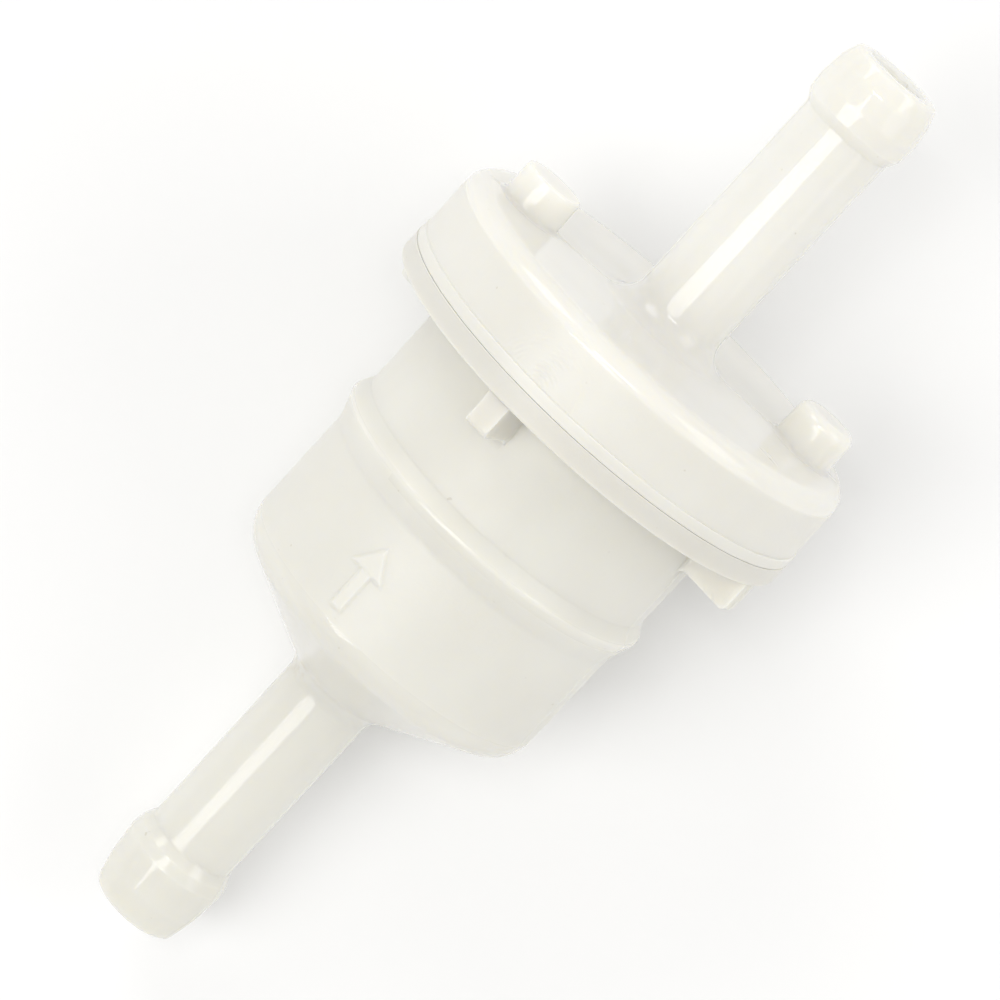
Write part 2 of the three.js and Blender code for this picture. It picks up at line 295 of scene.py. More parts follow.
def finish_piece(obj, materials, slot, *nodes, pick=None):
    """Gives a piece its materials and its body, and hides the CAD nodes that it stands for; slot is not
    used.

    pick(radius, z) says which material each face takes, by the place of its middle.
    """
    obj.data.materials.clear()
    for material in materials:
        obj.data.materials.append(material)
    if pick:
        middles = np.empty(len(obj.data.polygons) * 3)
        obj.data.polygons.foreach_get("center", middles)
        local = np.c_[middles.reshape(-1, 3), np.ones(len(middles) // 3)] @ np.array(PLACE.inverted()).T
        radius = np.hypot(local[:, 0], local[:, 1])
        obj.data.polygons.foreach_set("material_index", pick(radius, local[:, 2]).astype(np.int32))
    else:
        obj.data.polygons.foreach_set("material_index", np.zeros(len(obj.data.polygons), np.int32))
    obj.data.update()
    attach(obj, "root")
    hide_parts(*nodes)


# ---- the inlet cup -------------------------------------------------------------------------------


def cup_profile():
    inner_cone = CONE_Z + FLOOR
    corners = [
        (BORE, 0.0, 0.3),
        (2.93, 0.0, 0.42),
        (3.37, 1.9, 3.0),
        (3.585, 4.25, 0.5),
        (3.42, 5.05, 0.5),
        (SHAFT, 5.75, 0.5),
        (SHAFT, CONE_Z, 1.5),
        (WALL, CONE_TOP_Z, 2.1),
        (WALL, BEAD_Z - BEAD_BEFORE, 1.2),
        (WALL + BEAD_RISE, BEAD_Z + 0.05, 0.42),
        (WALL, BEAD_Z + BEAD_AFTER, 0.35),
        (WALL, FLANGE_Z, 0.3),
        (FLANGE, FLANGE_Z, 0.16),
        (FLANGE, WELD_Z - WELD_CLEAR, 0.035),
        (INNER, WELD_Z - WELD_CLEAR, 0.2),
        (INNER, inner_cone + (INNER - SHAFT) * SLOPE, 1.2),
        (BORE, inner_cone + (BORE - SHAFT) * SLOPE, 0.6),
    ]
    arrow_half = 3.2

    def step(radius, z):
        if radius > WALL - 0.5 and abs(z - ARROW_Z) < arrow_half:
            return 0.1
        if radius > WALL - 0.2 and z > LUG_Z - 0.3:
            return 0.18
        return 0.6

    return rounded(corners, step)


def arrow_distance(across, along):
    """Signed distance, in millimetres, from a flat arrow that points along +z: negative inside."""
    shaft_half, head_half, head_base, tip, tail = 0.42, 1.25, 0.5, 2.35, -2.35
    x = np.abs(across)
    shaft = np.maximum(x - shaft_half, np.maximum(tail - along, along - head_base - 0.1))
    slope = math.hypot(tip - head_base, head_half)
    flank = ((x - head_half) * (tip - head_base) + (along - head_base) * head_half) / slope
    head = np.maximum(flank, head_base - along)
    return np.minimum(shaft, head)


def lug_fold(profile):
    """For each profile point between the lugs' foot and the flange: where it goes on a lug."""
    corner = 0.35
    ends = [(WALL, LUG_Z, 0.0), (LUG_REACH, LUG_Z, corner), (LUG_REACH, FLANGE_Z, 0.0)]
    block = rounded(ends, lambda radius, z: 0.1, closed=False)
    radius, z = profile.T
    near = 0.31          # a little more than the fillet between the wall and the flange
    near_wall = (np.abs(radius - WALL) < near) & (z > LUG_Z) & (z < FLANGE_Z + 0.01)
    near_flange = (np.abs(z - FLANGE_Z) < near) & (radius > WALL - 0.01) & (radius < LUG_REACH)
    rows = np.flatnonzero(near_wall | near_flange)
    path = np.vstack([(WALL, LUG_Z), profile[rows], (LUG_REACH, FLANGE_Z)])
    share = travelled(path)[1:-1]
    along = travelled(block)
    folded = profile.copy()
    folded[rows, 0] = np.interp(share, along, block[:, 0])
    folded[rows, 1] = np.interp(share, along, block[:, 1])
    return folded


def travelled(path):
    """How far along a path each of its points lies, from 0 to 1."""
    steps = np.linalg.norm(np.diff(path, axis=0), axis=1)
    distance = np.concatenate([[0.0], np.cumsum(steps)])
    return distance / distance[-1]


def cup_shape(radius, z, azimuth):
    """Adds the lugs, the flow arrow, the parting line and the slight unevenness of the moulding."""
    outer = outer_cup(radius, z)
    folded = lug_fold(np.stack([radius[:, 0], z[:, 0]], -1))
    lug_radius, lug_z = folded[:, 0:1], folded[:, 1:2]
    side = 0.09          # half the width of the step at a lug's side
    for degrees in LUG_DEGREES:
        angle = angle_from(azimuth, degrees)
        offset = np.abs(lug_radius * np.sin(angle))
        blend = smoothstep(LUG_HALF + side, LUG_HALF - side, offset) * (np.abs(angle) < 1.0)
        radius = radius + (lug_radius - radius) * blend
        z = z + (lug_z - z) * blend
    across = angle_from(azimuth, ARROW_DEGREES) * WALL
    raised = smoothstep(0.14, -0.14, arrow_distance(across, z - ARROW_Z))
    on_wall = outer & (radius > WALL - 0.3) & (z < BEAD_Z - 2)
    radius = radius + ARROW_RISE * raised * on_wall
    for degrees in CUP_PARTING_DEGREES:
        radius = radius + flash(radius, azimuth, degrees) * (outer & (z < FLANGE_Z - 0.1))
    swell = 0.03 * np.sin(2 * azimuth + 0.6) * smoothstep(20, 26, z)
    return radius + swell * outer, z


def flash(radius, azimuth, degrees):
    """Height of the thin witness line that a mould's joint leaves at one azimuth."""
    height, width = 0.05, 0.08
    angle = angle_from(azimuth, degrees)
    offset = radius * np.sin(angle)
    return height * np.exp(-((offset / width) ** 2)) * (np.abs(angle) < 1.0)


def outer_cup(radius, z):
    """True on the cup's outer surface, below the weld."""
    under_cone = z < CONE_Z + (radius - SHAFT) * SLOPE + FLOOR / 2
    return (radius > BORE + 0.5) & ((radius > INNER + 0.6) | under_cone) & (z < WELD_Z - 0.2)


def cup_finish_and_shade(radius, z):
    """0 for polished parts, 1 for satin ones, 2 for the lugs and the flange's edge, which take a darker
    colour as painted shade, 3 for the bore.
    """
    shoulder_z = CONE_TOP_Z + 1.25
    crest_rise = 0.46
    crest = (radius > WALL + crest_rise) & (np.abs(z - BEAD_Z) < 0.9)
    satin = (z > shoulder_z) & ~crest
    # Material 2 gives the flange's rim and the lugs a darker colour: painted shade.
    edge = (radius > FLANGE - 0.1) & (z > FLANGE_Z + 0.05)
    lugs = (radius > WALL + 0.2) & (z > LUG_Z - 0.1) & (z < FLANGE_Z - 0.05)
    bore = radius < BORE + 0.15
    return np.select([bore, edge | lugs, satin], [3, 2, 1], 0)


def make_cup(materials):
    fine = [(d, 5.4, 0.2) for d in LUG_DEGREES]
    fine += [(ARROW_DEGREES, 8.0, 0.2)]
    fine += [(d, 1.6, 0.1) for d in CUP_PARTING_DEGREES]
    cup = revolved("inlet_cup_shell", cup_profile(), columns(fine), cup_shape)
    finish_piece(cup, materials, "cup_nylon", "inlet_cup", pick=cup_finish_and_shade)


# ---- the outlet lid ------------------------------------------------------------------------------


def lid_profile():
    corners = [
        (BORE, LENGTH, 0.3),
        (BORE, CEILING_Z + 0.4, 0.3),
        (SOCKET_IN, CEILING_Z, 0.2),
        (SOCKET_IN, SOCKET_Z, 0.2),
        (SOCKET_OUT, SOCKET_Z, 0.2),
        (SOCKET_OUT, CEILING_Z, 0.5),
        (LID - LID_WALL, CEILING_Z, 0.7),
        (LID - LID_WALL, WELD_Z + WELD_CLEAR, 0.15),
        (LID + LIP_RISE, WELD_Z + WELD_CLEAR, 0.035),
        (LID + LIP_RISE, LIP_TOP_Z, 0.06),
        (LID, LIP_TOP_Z + 0.05, 0.06),
        (LID, TOP_Z, 1.2),
        (SHAFT, TOP_Z, 1.7),
        (SHAFT, BARB_Z, 0.25),
        (3.45, BARB_Z + 0.7, 0.25),
        (3.56, BARB_Z + 1.85, 1.5),
        (3.38, BARB_Z + 3.35, 2.0),
        (2.98, LENGTH, 0.45),
    ]

    def step(radius, z):
        if abs(z - TOP_Z) < 0.1 and abs(radius - PIT_CIRCLE) < 2 * PIT_RADIUS:
            return 0.06
        return 0.15 if LID - 0.05 < radius and z < LIP_TOP_Z + 0.1 else 0.4

    return rounded(corners, step)


def lid_shape(radius, z, azimuth):
    """Adds the parting line, a trace of sink, a small pit, and the unevenness of the weld lip."""
    outside = (z > TOP_Z - 1.3) & (radius > BORE + 0.4) | (radius > LID - 0.1)
    on_top = (np.abs(z - TOP_Z) < 0.02) & outside
    for degrees in LID_PARTING_DEGREES:
        line = flash(radius, azimuth, degrees)
        rises = outside & (z > TOP_Z - 0.02)
        radius = radius + np.where(rises & ~on_top, line, 0)
        z = z + np.where(on_top, 0.6 * line, 0)
    sink_depth, sink_circle, sink_reach = 0.03, 8.5, 3.0
    dip = np.exp(-(((radius - sink_circle) / sink_reach) ** 2))
    sink = sink_depth * dip * (1 + 0.5 * np.sin(azimuth * 2 + 1.1))
    pit_x = radius * np.cos(angle_from(azimuth, PIT_DEGREES)) - PIT_CIRCLE
    pit_y = radius * np.sin(angle_from(azimuth, PIT_DEGREES))
    reach = np.hypot(pit_x, pit_y) / PIT_RADIUS
    pit_rim = 0.35 * np.exp(-(((reach - 1.25) / 0.3) ** 2))
    pit = PIT_DEPTH * (np.exp(-(reach ** 4)) - pit_rim)
    z = z - np.where(on_top, sink + pit, 0)
    on_lip = (radius > LID + 0.5 * LIP_RISE) & (z < LIP_TOP_Z + 0.02)
    melt = 0.5 * np.sin(azimuth * 7 + 2 * np.sin(azimuth * 3)) + 0.3 * np.sin(azimuth * 29 + 1)
    melt += 0.2 * np.sin(azimuth * 83 + 2)
    waver = 0.03 * melt
    on_lip_top = on_lip & (z > WELD_Z + 0.5)
    return radius + np.where(on_lip, waver, 0), z + np.where(on_lip_top, waver, 0)


def make_peg(degrees, circle, height, tip_fillet):
    """A round peg with a coved foot, sunk into the lid's top so that the two join."""
    sunk = 0.8
    foot = PEG + 0.32
    corners = [
        (0.0, -sunk, 0.0),
        (foot, -sunk, 0.0),
        (foot, -0.03, 0.0),
        (PEG, 0.12, 0.22),
        (PEG - 0.03, height, tip_fillet),
        (0.0, height, 0.0),
    ]
    return post(corners, degrees, circle, TOP_Z)


def lid_finish_and_shade(radius, z):
    """0 for the polished top, edge and spigot, 1 for the satin skirt and the inside, which take a darker
    colour as painted shade, 2 for the bore.
    """
    # Material 1 gives the skirt and the inside a darker copy of the lid's nylon: painted shade.
    skirt = (radius > LID - 0.25) & (z < TOP_Z - 1.15)
    inside = (z < TOP_Z - 0.5) & (radius < LID - 1)
    return np.select([radius < BORE + 0.15, skirt | inside], [2, 1], 0)


def make_lid(materials):
    fine = [(d, 4.0, 0.5) for d in LID_PARTING_DEGREES]
    fine += [(d, 1.2, 0.1) for d in LID_PARTING_DEGREES]
    fine += [(PIT_DEGREES, 3.0, 0.3)]
    lid = revolved("outlet_lid_shell", lid_profile(), columns(fine, 1.5), lid_shape)
    for peg in PEGS:
        boolean(lid, make_peg(*peg), "UNION")
    lid.data.set_sharp_from_angle(angle=math.radians(40))
    finish_piece(lid, materials, "lid_nylon", "outlet_lid", pick=lid_finish_and_shade)


# ---- inside the housing --------------------------------------------------------------------------


def pleat_path():
    """The paper's middle line: rounded folds between the inner and the outer circle."""
    steps = PLEATS * PLEAT_STEPS
    turn = np.arange(steps) / steps * 2 * math.pi
    sharpness = 0.985
    wave = np.arcsin(sharpness * np.cos(PLEATS * turn)) / math.asin(sharpness)
    middle, swing = (PLEAT_OUT + PLEAT_IN) / 2, (PLEAT_OUT - PLEAT_IN) / 2
    lazy = 0.012 * np.sin(3 * turn + 1) + 0.008 * np.sin(7 * turn)
    radius = middle + swing * wave
    return np.stack([radius * np.cos(turn + lazy), radius * np.sin(turn + lazy)], -1)


def make_paper(material):
    ends = CAP_THICK + POTTING + 2 * CLEAR
    low, high = ELEMENT_LOW + ends, ELEMENT_HIGH - ends

    def ripple(index, z):
        """Each fold leans a little, unlike its neighbours, and is straight where the potting holds it."""
        lean = np.sin(index / PLEAT_STEPS * 2 * math.pi * 0.618 + 1.1 * z)
        return 0.05 * lean * math.sin(math.pi * (z - low) / (high - low))

    paper = band("pleated_paper", pleat_path(), low, high, PAPER_HALF, True, 16, ripple)
    finish_piece(paper, [material], "filter_paper", "filter_paper")


def make_potting(name, node, low, material):
    spill = 0.25         # how far the adhesive reaches past the folds
    inner, outer = PLEAT_IN - spill, PLEAT_OUT + spill
    corners = [
        (inner, low, 0.12),
        (outer, low, 0.12),
        (outer, low + POTTING, 0.2),
        (inner, low + POTTING, 0.2),
    ]

    def menisci(radius, z, azimuth):
        """The poured adhesive creeps up the folds of the paper."""
        creep = 0.06 * np.cos(PLEATS * azimuth) * np.sin((radius - PLEAT_IN) * 1.7)
        return radius + 0.04 * np.sin(5 * azimuth + low), z + np.where(z > low + 0.5 * POTTING, creep, 0)

    profile = rounded(corners, lambda radius, z: 0.3)
    ring = revolved(name, profile, columns([], 1.5), menisci)
    finish_piece(ring, [material], "potting_adhesive", node)


def make_closed_cap(material):
    top = ELEMENT_LOW + CAP_THICK
    corners = [
        (0.0, ELEMENT_LOW, 0.0),
        (CAP, ELEMENT_LOW, 0.3),
        (CAP, top + CAP_RIM, 0.12),
        (CAP - CAP_WALL, top + CAP_RIM, 0.12),
        (CAP - CAP_WALL, top, 0.2),
        (1.2, top, 0.2),
        (0.9, top - 0.25, 0.2),
        (0.0, top - 0.25, 0.0),
    ]
    cap = post(corners, 0.0, 0.0, 0.0, 0.5, 2.0)
    cap.name = "closed_cap_dish"
    foot_circle, foot_length, sunk = 6.2, 1.4, 0.2
    foot = [(0.0, -foot_length, 0.0), (0.7, -foot_length, 0.3), (0.72, sunk, 0.0), (0.0, sunk, 0.0)]
    for degrees in (0.0, 120.0, 240.0):
        boolean(cap, post(foot, degrees, foot_circle, ELEMENT_LOW, 0.2, 15.0), "UNION")
    cap.data.set_sharp_from_angle(angle=math.radians(40))
    finish_piece(cap, [material], "end_cap_plastic", "closed_end_cap")


def make_neck_cap(material):
    bottom = ELEMENT_HIGH - CAP_THICK
    groove_half = 0.75
    corners = [
        (BORE, bottom, 0.15),
        (CAP - CAP_WALL, bottom, 0.2),
        (CAP - CAP_WALL, bottom - CAP_RIM, 0.12),
        (CAP, bottom - CAP_RIM, 0.12),
        (CAP, ELEMENT_HIGH, 0.3),
        (NECK, ELEMENT_HIGH, 0.4),
        (NECK, SEAL_Z - groove_half, 0.06),
        (GROOVE, SEAL_Z - groove_half, 0.06),
        (GROOVE, SEAL_Z + groove_half, 0.06),
        (NECK, SEAL_Z + groove_half, 0.06),
        (NECK, NECK_TOP_Z, 0.3),
        (BORE, NECK_TOP_Z, 0.15),
    ]
    cap = revolved("neck_cap_ring", rounded(corners, lambda radius, z: 0.4), columns([], 2.0))
    finish_piece(cap, [material], "end_cap_plastic", "neck_end_cap")


def rounded_box(width, height, depth, degrees, z):
    """A long window tool across the axis: width around it, height along it, with round corners."""
    corner = 0.3
    ends = [(-width / 2, -height / 2, corner), (width / 2, -height / 2, corner),
            (width / 2, height / 2, corner), (-width / 2, height / 2, corner)]
    outline = rounded(ends, lambda x, y: 1.0, arc_degrees=15.0)
    turn = math.radians(degrees)
    outward = np.array((math.cos(turn), math.sin(turn), 0))
    sideways = np.array((-math.sin(turn), math.cos(turn), 0))
    upward = np.array((0, 0, 1))
    rings = [outward * reach + outline[:, 0:1] * sideways + outline[:, 1:2] * upward + (0, 0, z)
             for reach in (-depth, depth)]
    count = len(outline)
    faces = wrapped_faces(2, count, False).tolist() + [list(range(count)), list(range(count, 2 * count))]
    return to_object("window", np.array(rings), faces)


def make_core(material):
    low = ELEMENT_LOW + CAP_THICK + CLEAR
    high = ELEMENT_HIGH - CAP_THICK - CLEAR
    corners = [
        (CORE - CORE_WALL, low, 0.15),
        (CORE, low, 0.2),
        (CORE, high, 0.2),
        (CORE - CORE_WALL, high, 0.15),
    ]
    core = revolved("perforated_core", rounded(corners, lambda radius, z: 0.5), columns([], 3.0))
    rows, first_degrees = 3, math.degrees(0.13)
    window_width, window_height = 1.8, 2.4
    for row in range(rows):
        z = low + (high - low) * (row + 0.5) / rows
        for i in range(2):
            degrees = (i + row % 2 / 2) * 90.0 + first_degrees
            window = rounded_box(window_width, window_height, 2 * CORE, degrees, z)
            boolean(core, window, "DIFFERENCE")
    core.data.set_sharp_from_angle(angle=math.radians(40))
    finish_piece(core, [material], "core_plastic", "support_core")


def make_clip(material):
    """The folded strip that closes the paper ring, with rounded bends and a slight spring."""
    mouth, crown, half_width, strip = 6.9, 8.35, 0.42, 0.2
    ends = CAP_THICK + POTTING + 2 * CLEAR + 0.2
    inset = strip / 2
    fold = [(mouth, inset - half_width, 0.0), (crown - inset, inset - half_width, 0.22),
            (crown - inset, half_width - inset, 0.22), (mouth, half_width - inset, 0.0)]
    path = rounded(fold, lambda x, y: 0.1, closed=False, arc_degrees=12.0)
    turn = math.pi + math.pi / PLEATS
    spin = np.array(((math.cos(turn), math.sin(turn)), (-math.sin(turn), math.cos(turn))))

    def spring(index, z):
        return 0.015 * np.sin(2.3 * z)

    clip = band("seam_clip_strip", path @ spin, ELEMENT_LOW + ends, ELEMENT_HIGH - ends,
                strip / 2, False, 24, spring)
    finish_piece(clip, [material], "clip_steel", "pleat_seam_clip")


def make_seal(material):
    inner, outer = GROOVE + 0.1, SOCKET_IN - 0.1
    middle, thick = (inner + outer) / 2, (outer - inner) / 2
    around = np.linspace(0, 2 * math.pi, 32, endpoint=False)
    seam = 0.03 * np.exp(-((np.sin(around) / 0.12) ** 2))
    ring = np.stack([middle + (thick + seam) * np.cos(around), SEAL_Z + thick * np.sin(around)], -1)
    seal = revolved("neck_seal_ring", ring, columns([], 2.5))
    finish_piece(seal, [material], "seal_rubber", "neck_o_ring")


# ---- materials -----------------------------------------------------------------------------------


class Nodes:
    """A short way to write a material's node tree, in filter millimetres."""

    def __init__(self, name):
        self.material = bpy.data.materials.new(name)
        self.material.use_nodes = True
        self.tree = self.material.node_tree
        self.shader = self.tree.nodes["Principled BSDF"]

    def node(self, kind, inputs=None, **settings):
        made = self.tree.nodes.new(kind)
        for key, value in settings.items():
            setattr(made, key, value)
        for key, value in (inputs or {}).items():
            self.put(value, made.inputs[key])
        return made

    def put(self, value, socket):
        if isinstance(value, bpy.types.NodeSocket):
            self.tree.links.new(value, socket)
        else:
            socket.default_value = value

    def set(self, **values):
        """Sets or links the shader's sockets, named with _ for each space."""
        for key, value in values.items():
            self.put(value, self.shader.inputs[key.replace("_", " ")])

    def place(self, stretch=(1.0, 1.0, 1.0)):
        """Where a point lies: across, aside and along the filter, in millimetres times stretch."""
        world = self.node("ShaderNodeTexCoord").outputs["Object"]
        where, turn, size = PLACE.decompose()
        inputs = {"Vector": world, "Location": where, "Rotation": turn.to_euler(), "Scale": size}
        local = self.node("ShaderNodeMapping", inputs, vector_type="TEXTURE").outputs["Vector"]
        return self.node("ShaderNodeMapping", {"Vector": local, "Scale": stretch}).outputs["Vector"]

    def noise(self, size_mm, detail=3.0, roughness=0.5, stretch=(1.0, 1.0, 1.0)):
        """Noise with features of about this size, as a 0 to 1 value."""
        inputs = {"Vector": self.place(stretch), "Scale": 1 / size_mm, "Detail": detail,
                  "Roughness": roughness}
        return self.node("ShaderNodeTexNoise", inputs).outputs["Fac"]

    def spread(self, value, low, high, start=0.0, end=1.0):
        """Low where value is start, high where it is end, and even between them."""
        inputs = {"Value": value, "From Min": start, "From Max": end, "To Min": low, "To Max": high}
        return self.node("ShaderNodeMapRange", inputs).outputs["Result"]

    def mix(self, factor, a, b):
        mixer = self.node("ShaderNodeMix", data_type="RGBA")
        colour_a, colour_b = (s for s in mixer.inputs if s.type == "RGBA")
        self.put(factor, mixer.inputs["Factor"])
        self.put(a, colour_a)
        self.put(b, colour_b)
        return next(s for s in mixer.outputs if s.type == "RGBA")

    def math(self, operation, a, b):
        maths = self.node("ShaderNodeMath", operation=operation)
        self.put(a, maths.inputs[0])
        self.put(b, maths.inputs[1])
        return maths.outputs[0]

    def bump(self, height, distance_mm):
        inputs = {"Height": height, "Distance": distance_mm * MM, "Strength": 1.0}
        self.set(Normal=self.node("ShaderNodeBump", inputs).outputs["Normal"])


def nylon(name, colour, warm, rough, grain_height, scatter):
    """Milky unfilled nylon: light scatters through it, and its gloss wanders within rough.

    scatter is how far light travels inside, in millimetres. It falls to almost nothing at the weld,
    where the melted halves pass light on to each other instead of losing it in a gap. A little brown
    fuel residue sits in the corner at the inlet spigot's root, on one side.
    """
    n = Nodes(name)
    place = n.node("ShaderNodeSeparateXYZ", {"Vector": n.place()}).outputs
    along = place["Z"]
    base = n.mix(n.spread(n.noise(6.0, 2.0), 0.0, 1.0, 0.3, 0.7), colour, warm)
    ring = n.math("MULTIPLY", n.spread(along, 0.0, 1.0, CONE_Z - 1.2, CONE_Z),
                  n.spread(along, 1.0, 0.0, CONE_Z + 0.3, CONE_Z + 1.5))
    side = n.math("MULTIPLY", n.spread(place["X"], 0.0, 1.0, -1.0, 1.0),
                  n.spread(place["Y"], 1.0, 0.0, -3.0, -1.0))
    patches = n.math("MULTIPLY", side, n.spread(n.noise(0.8, 4.0, 0.6), 0.0, 0.6, 0.48, 0.68))
    residue, speck_brown = (0.62, 0.54, 0.39, 1), (0.5, 0.46, 0.36, 1)
    stained = n.mix(n.math("MULTIPLY", ring, patches), base, residue)
    speck = n.spread(n.noise(0.55, 1.0, 0.4), 0.0, 0.35, 0.79, 0.83)
    n.set(Base_Color=n.mix(speck, stained, speck_brown))
    n.set(Roughness=n.spread(n.noise(2.4, 4.0, 0.6), *rough, 0.3, 0.7))
    grain = n.noise(0.35, 2.0, 0.55)
    tool_marks = n.math("ADD", n.noise(0.25, 2.0, 0.5, (1.0, 1.0, 0.2)), rub_marks(n, along))
    n.bump(n.math("ADD", grain, tool_marks), grain_height)
    from_weld = n.math("ABSOLUTE", n.math("SUBTRACT", along, WELD_Z), 0.0)
    weld_scatter, weld_reach = 0.08, 2.5
    n.set(Subsurface_Scale=n.spread(from_weld, weld_scatter * MM, scatter * MM, 0.0, weld_reach))
    n.set(Subsurface_Weight=1.0, Subsurface_Radius=(1.0, 0.95, 0.75), IOR=1.53)
    return n.material


def rub_marks(n, along):
    """Curved rub marks in one patch of the lid's skirt, above the lip, as a height."""
    turn = math.radians(RUB_DEGREES)
    centre = (LID * math.cos(turn), LID * math.sin(turn), RUB_Z)
    distance = n.node("ShaderNodeVectorMath", {0: n.place(), 1: centre}, operation="DISTANCE")
    away = distance.outputs["Value"]
    wave = n.math("SINE", n.math("MULTIPLY", away, 2 * math.pi / RUB_PITCH), 0.0)
    patch = n.math("MULTIPLY", n.spread(away, 2.0, 0.0, 0.4 * RUB_REACH, RUB_REACH),
                   n.spread(n.noise(1.3, 2.0), 0.0, 1.0, 0.42, 0.6))
    above_lip = n.spread(along, 0.0, 1.0, LIP_TOP_Z, LIP_TOP_Z + 0.4)
    return n.math("MULTIPLY", wave, n.math("MULTIPLY", patch, above_lip))


def paper():
    """Resin-treated filter paper: matted fibres and a mottled tone."""
    n = Nodes("filter_paper")
    tone = n.spread(n.noise(1.4, 4.0, 0.65), 0.0, 1.0, 0.3, 0.7)
    fibre = n.noise(0.12, 4.0, 0.7, (1.0, 1.0, 0.35))
    base = n.mix(tone, (0.80, 0.70, 0.49, 1), (0.87, 0.79, 0.60, 1))
    n.set(Base_Color=n.mix(n.spread(fibre, 0.0, 0.5, 0.55, 0.75), base, (0.62, 0.50, 0.30, 1)))
    n.set(Roughness=n.spread(fibre, 0.8, 0.95))
    n.bump(fibre, 0.05)
    n.set(Subsurface_Weight=0.3, Subsurface_Scale=0.4 * MM)
    return n.material


def moulded(name, colour, shade, rough):
    """Moulded plastic inside the housing: fine grain, flow marks and a faint yellowing."""
    n = Nodes(name)
    n.set(Base_Color=n.mix(n.spread(n.noise(3.0, 3.0), 0.0, 1.0, 0.3, 0.7), colour, shade))
    n.set(Roughness=n.spread(n.noise(1.1, 3.0), *rough, 0.3, 0.7))
    n.bump(n.noise(0.3, 3.0, 0.6), 0.008)
    n.set(Subsurface_Weight=0.4, Subsurface_Scale=0.8 * MM, IOR=1.5)
    return n.material


def adhesive():
    """Hardened amber adhesive with pale streaks and small bubbles."""
    n = Nodes("potting_adhesive")
    streak = n.spread(n.noise(1.6, 4.0, 0.6), 0.0, 1.0, 0.3, 0.7)
    bubble = n.node("ShaderNodeTexVoronoi", {"Vector": n.place(), "Scale": 2.2}).outputs["Distance"]
    dimple = n.spread(bubble, 0.0, 1.0, 0.05, 0.22)
    base = n.mix(streak, (0.74, 0.56, 0.25, 1), (0.82, 0.67, 0.38, 1))
    n.set(Base_Color=n.mix(dimple, (0.88, 0.78, 0.55, 1), base))
    n.set(Roughness=n.spread(streak, 0.3, 0.45))
    n.bump(dimple, 0.03)
    n.set(Subsurface_Weight=0.5, Subsurface_Scale=0.8 * MM)
    return n.material


def steel():
    """Thin rolled strip: brushed along its length, with dull spots."""
    n = Nodes("clip_steel")
    lines = n.noise(0.12, 3.0, 0.6, (1.0, 1.0, 0.04))
    spots = n.spread(n.noise(0.9, 3.0, 0.6), 0.0, 1.0, 0.55, 0.75)
    base = n.mix(lines, (0.52, 0.53, 0.55, 1), (0.70, 0.71, 0.72, 1))
    n.set(Base_Color=n.mix(spots, base, (0.42, 0.40, 0.37, 1)))
    n.set(Roughness=n.spread(spots, 0.3, 0.5))
    n.bump(lines, 0.006)
    n.set(Metallic=1.0)
    return n.material


def rubber():
    """Black nitrile rubber with a dusty bloom."""
    n = Nodes("seal_rubber")
    bloom = n.spread(n.noise(0.7, 4.0, 0.65), 0.0, 1.0, 0.35, 0.75)
    n.set(Base_Color=n.mix(bloom, (0.02, 0.02, 0.022, 1), (0.055, 0.054, 0.052, 1)))
    n.set(Roughness=n.spread(bloom, 0.5, 0.75))
    n.bump(n.noise(0.15, 3.0, 0.6), 0.01)
    return n.material


# ---- floor, light and camera ---------------------------------------------------------------------

VIEW_DISTANCE = 303 * MM
VIEW_LEAN = 0.9          # degrees that the view leans from straight down, towards the outlet
VIEW_TURN = 47.33        # degrees that the flow turns up from the picture's right edge
VIEW_LENS = 180.0
VIEW_CENTRE = (0, -0.36, 35.0)          # filter millimetres


def stage_floor():
    """A pale table top, level with the lowest point of the filter."""
    low = min(v.z for v in (o.matrix_world @ Vector(c) for o in shown() for c in o.bound_box))
    half = 1.5
    mesh = bpy.data.meshes.new("floor")
    mesh.from_pydata([(-half, -half, low), (half, -half, low), (half, half, low), (-half, half, low)],
                     [], [(0, 1, 2, 3)])
    floor = bpy.data.objects.new("floor", mesh)
    bpy.context.scene.collection.objects.link(floor)
    n = Nodes("table_surface")
    tone = n.spread(n.noise(60.0, 2.0), 0.0, 1.0, 0.35, 0.65)
    n.set(Base_Color=n.mix(tone, (0.89, 0.89, 0.89, 1), (0.91, 0.91, 0.91, 1)), Roughness=0.6)
    mesh.materials.append(n.material)


def shown():
    return [o for o in bpy.context.scene.objects if o.type == "MESH" and not o.hide_render]


def view_axes():
    """The picture's right, up and back directions in the row frame."""
    lean = math.radians(VIEW_LEAN)
    turn = math.radians(VIEW_TURN)
    back = Vector((math.sin(lean), 0, math.cos(lean)))
    along = Vector((math.cos(lean), 0, -math.sin(lean)))
    across = back.cross(along)
    right = along * math.cos(turn) - across * math.sin(turn)
    up = along * math.sin(turn) + across * math.cos(turn)
    return right, up, back


def area_light(name, place, size, power, level_with):
    """A soft rectangular light that looks at the filter, with its width along level_with."""
    data = bpy.data.lights.new(name, "AREA")
    data.shape = "RECTANGLE"
    data.size, data.size_y = size
    data.energy = power
    light = bpy.data.objects.new(name, data)
    bpy.context.scene.collection.objects.link(light)
    target = PLACE @ Vector((0, 0, LENGTH / 2))
    away = (Vector(place) - target).normalized()
    across = (level_with - away * level_with.dot(away)).normalized()
    turn = Matrix((across, away.cross(across), away)).transposed().to_4x4()
    light.matrix_world = Matrix.Translation(place) @ turn


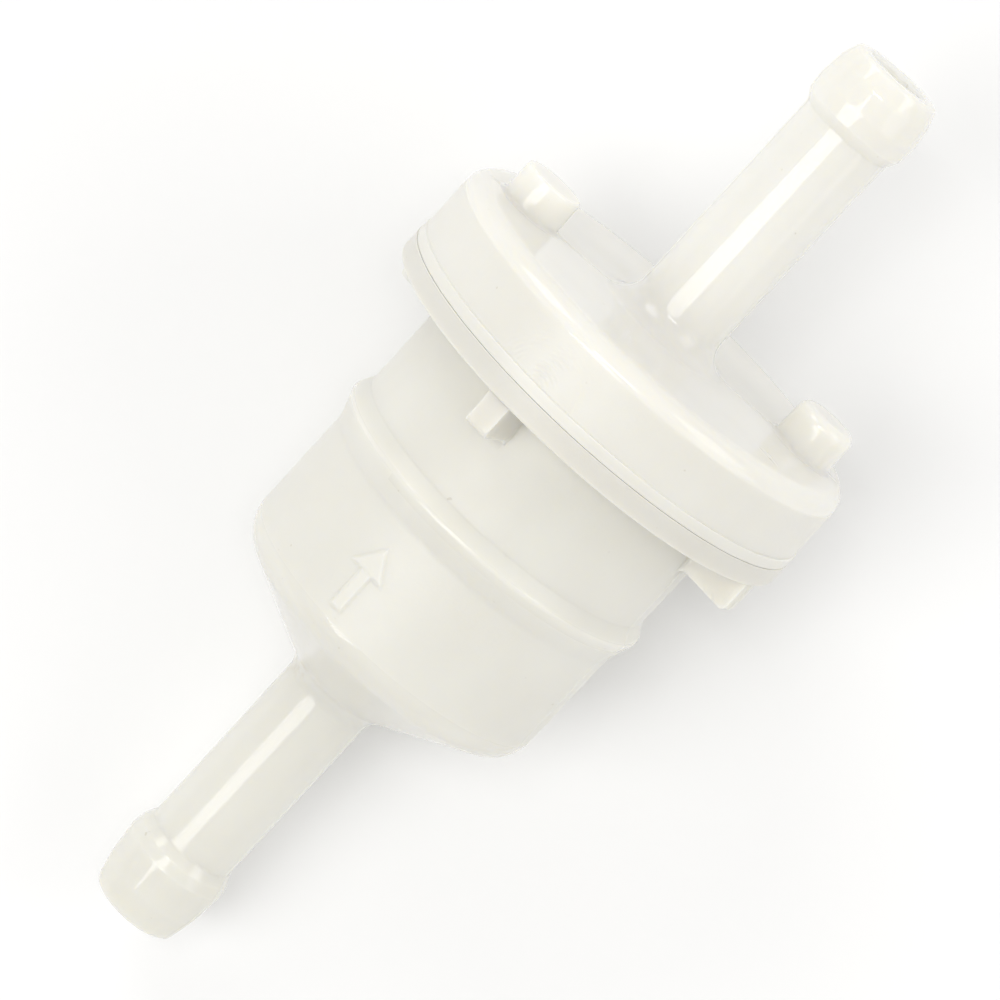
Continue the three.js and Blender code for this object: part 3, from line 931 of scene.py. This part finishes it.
def light_up():
    world = bpy.data.worlds.new("studio")
    bpy.context.scene.world = world
    world.use_nodes = True
    sky = world.node_tree.nodes["Background"].inputs
    sky["Color"].default_value = (1.0, 0.993, 0.975, 1)
    sky["Strength"].default_value = 0.6
    picture_right = view_axes()[0]
    flow = Vector((1, 0, 0))
    area_light("left_softbox", (-0.36, 0.28, 0.80), (0.62, 0.45), 2.7, picture_right)
    area_light("top_strip", (0.06, 0.06, 0.93), (0.09, 0.40), 0.9, flow)
    area_light("right_softbox", (0.50, 0.60, 0.47), (0.45, 0.45), 1.5, picture_right)
    area_light("front_softbox", (0.50, -0.60, 0.47), (0.50, 0.50), 1.15, picture_right)
    area_light("low_softbox", (0.10, -0.80, 0.50), (0.60, 0.60), 0.9, picture_right)


def aim_camera():
    data = bpy.data.cameras.new("view")
    data.lens = VIEW_LENS
    data.sensor_width = 36.0
    data.clip_start, data.clip_end = 0.01, 20.0
    camera = bpy.data.objects.new("view", data)
    bpy.context.scene.collection.objects.link(camera)
    right, up, back = view_axes()
    middle = PLACE @ Vector(VIEW_CENTRE)
    camera.matrix_world = Matrix.Translation(middle + back * VIEW_DISTANCE) @ Matrix(
        (right, up, back)).transposed().to_4x4()
    bpy.context.scene.camera = camera


# ---- build ---------------------------------------------------------------------------------------


def build():
    cream, warm_cream = (0.775, 0.767, 0.715, 1), (0.755, 0.742, 0.685, 1)
    # edge colours: a darker, warmer copy of the cup's nylon, painted shade on the flange's rim and the
    # lugs.
    edge, warm_painted_shade = (0.732, 0.719, 0.668, 1), (0.712, 0.694, 0.638, 1)
    pale, warm_pale = (0.84, 0.83, 0.785, 1), (0.82, 0.805, 0.755, 1)
    # skirt colours: a darker copy of the lid's pale nylon, painted shade on the satin skirt and the
    # inside.
    skirt, warm_shaded_skirt = (0.80, 0.79, 0.74, 1), (0.78, 0.765, 0.71, 1)
    satin, grain = (0.36, 0.48), 0.006
    scatter, bore_scatter = 1.2, 4.0
    cup_gloss = nylon("cup_nylon_polished", cream, warm_cream, (0.07, 0.13), 0.0012, scatter)
    cup_satin = nylon("cup_nylon_satin", cream, warm_cream, satin, grain, scatter)
    cup_painted_shade = nylon("cup_nylon_painted_shade", edge, warm_painted_shade, satin, grain, scatter)
    cup_bore = nylon("cup_nylon_bore", cream, warm_cream, satin, grain, bore_scatter)
    lid_gloss = nylon("lid_nylon_polished", pale, warm_pale, (0.05, 0.11), 0.0006, scatter)
    lid_satin_shaded = nylon("lid_nylon_satin_shaded", skirt, warm_shaded_skirt, (0.34, 0.46), grain, scatter)
    lid_bore = nylon("lid_nylon_bore", pale, warm_pale, satin, grain, bore_scatter)
    make_cup([cup_gloss, cup_satin, cup_painted_shade, cup_bore])
    make_lid([lid_gloss, lid_satin_shaded, lid_bore])
    make_paper(paper())
    cap_plastic = moulded("end_cap_plastic", (0.86, 0.85, 0.79, 1), (0.80, 0.78, 0.69, 1), (0.4, 0.55))
    make_closed_cap(cap_plastic)
    make_neck_cap(cap_plastic)
    make_core(moulded("core_plastic", (0.83, 0.82, 0.76, 1), (0.77, 0.75, 0.66, 1), (0.45, 0.6)))
    glue = adhesive()
    make_potting("lower_potting_ring", "lower_potting", ELEMENT_LOW + CAP_THICK + CLEAR, glue)
    make_potting("upper_potting_ring", "upper_potting", ELEMENT_HIGH - CAP_THICK - CLEAR - POTTING, glue)
    make_clip(steel())
    make_seal(rubber())


bpy.context.scene.view_settings.view_transform = "Standard"
build()
aim_camera()
light_up()
stage_floor()
